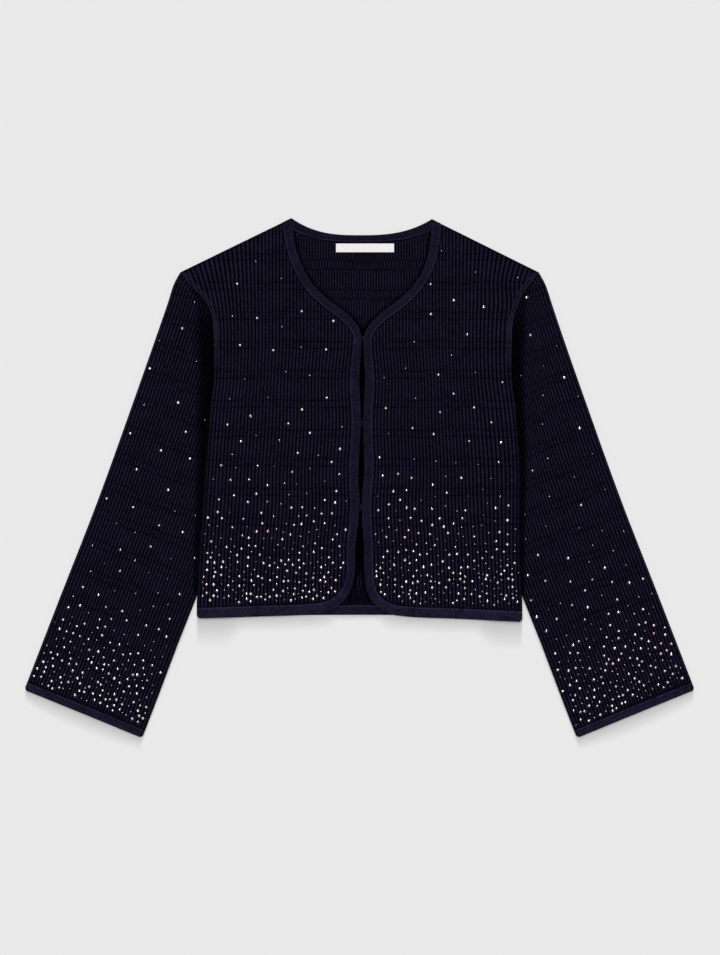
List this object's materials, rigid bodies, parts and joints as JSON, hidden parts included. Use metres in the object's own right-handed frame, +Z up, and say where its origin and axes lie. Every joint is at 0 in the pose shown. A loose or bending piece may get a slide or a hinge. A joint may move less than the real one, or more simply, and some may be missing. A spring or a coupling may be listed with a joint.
{
  "type": "cropped rib-knit cardigan laid flat",
  "caption": "Cropped rib-knit cardigan laid flat on its back, with an edge-to-edge front closed by hooks and eyes, knitted bands and wide straight sleeves.",
  "frame": {"origin": "middle of the garment's bounding box on the surface that it lies on", "axes": "+X across the garment towards the wearer's left sleeve, +Y from the hem to the neck, +Z up out of the fronts"},
  "size_m": [0.804, 0.6219, 0.011],
  "materials": {
    "rib_knit": "matte",
    "band_knit": "matte",
    "label_satin": "satin",
    "tab_satin": "satin",
    "hook_metal": "satin",
    "crystal": "gloss",
    "thread": "matte"
  },
  "bodies": {
    "root": {"back_panel": "rib_knit", "front_left": "rib_knit", "front_right": "rib_knit", "sleeve_left": "rib_knit", "sleeve_right": "rib_knit", "neck_band_back": "band_knit", "hem_band_back": "band_knit", "front_band_left": "band_knit", "front_band_right": "band_knit", "cuff_band_left": "band_knit", "cuff_band_right": "band_knit", "hook_top": "hook_metal", "hook_middle": "hook_metal", "hook_bottom": "hook_metal", "eye_top": "hook_metal", "eye_middle": "hook_metal", "eye_bottom": "hook_metal", "neck_label": "label_satin", "care_tab": "tab_satin"}
  },
  "joints": []
}
